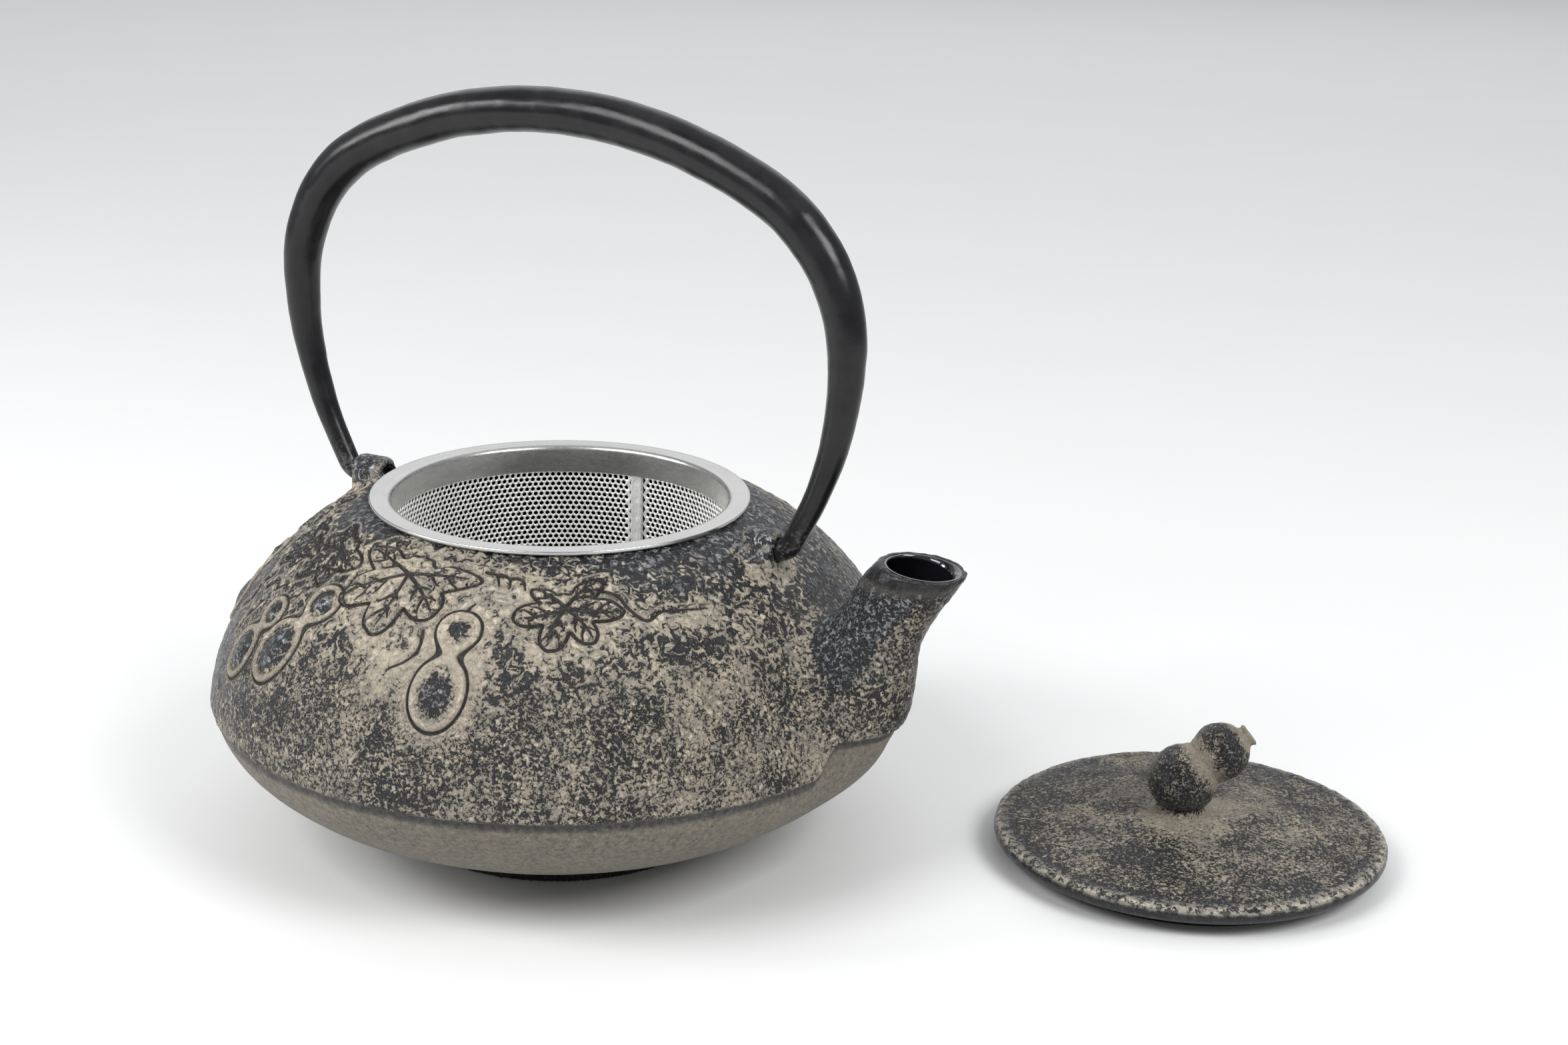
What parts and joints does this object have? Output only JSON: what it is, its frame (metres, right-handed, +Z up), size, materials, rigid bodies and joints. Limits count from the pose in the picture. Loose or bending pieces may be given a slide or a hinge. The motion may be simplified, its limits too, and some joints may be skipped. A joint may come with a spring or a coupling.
{
  "type": "teapot with infuser",
  "caption": "Low round cast-iron teapot with a short spout, a folding bail handle and a perforated steel strainer basket in its mouth; its domed lid with a gourd knob lies beside it.",
  "frame": {"origin": "centre of the pot's flat base, on the table", "axes": "+Z up along the pot's axis, +X towards the spout, so the bail stands in the XZ plane"},
  "size_m": [0.2414, 0.1672, 0.159],
  "materials": {
    "cast_iron": "rough casting with a rubbed tan patina",
    "enamel": "gloss black enamel",
    "black_iron": "satin black lacquer",
    "brushed_steel": "fine brushed",
    "perforated_steel": "perforated sheet, satin",
    "mild_steel": "dull, darkened"
  },
  "bodies": {
    "pot": {"pot_body": "cast_iron", "enamel_lining": "enamel"},
    "handle": {"handle_bail": "black_iron"},
    "infuser": {"infuser_rim": "brushed_steel", "infuser_wall": "perforated_steel", "infuser_base": "perforated_steel", "infuser_base_ring": "brushed_steel"},
    "lid": {"lid_plate": "cast_iron", "lid_knob": "cast_iron", "knob_stud": "mild_steel", "knob_washer": "mild_steel"}
  },
  "joints": [
    {"name": "handle_fold", "type": "hinge", "parent": "pot", "child": "handle", "pos_m": [0, 0, 0.0703], "axis": [1, 0, 0], "range_deg": [-110, 110]},
    {"name": "infuser_lift", "type": "slide", "parent": "pot", "child": "infuser", "axis": [0, 0, 1], "range_m": [0, 0.06]},
    {"name": "lid_lift", "type": "slide", "parent": "pot", "child": "lid", "axis": [0, 0, 1], "range_m": [0, 0.1]}
  ]
}
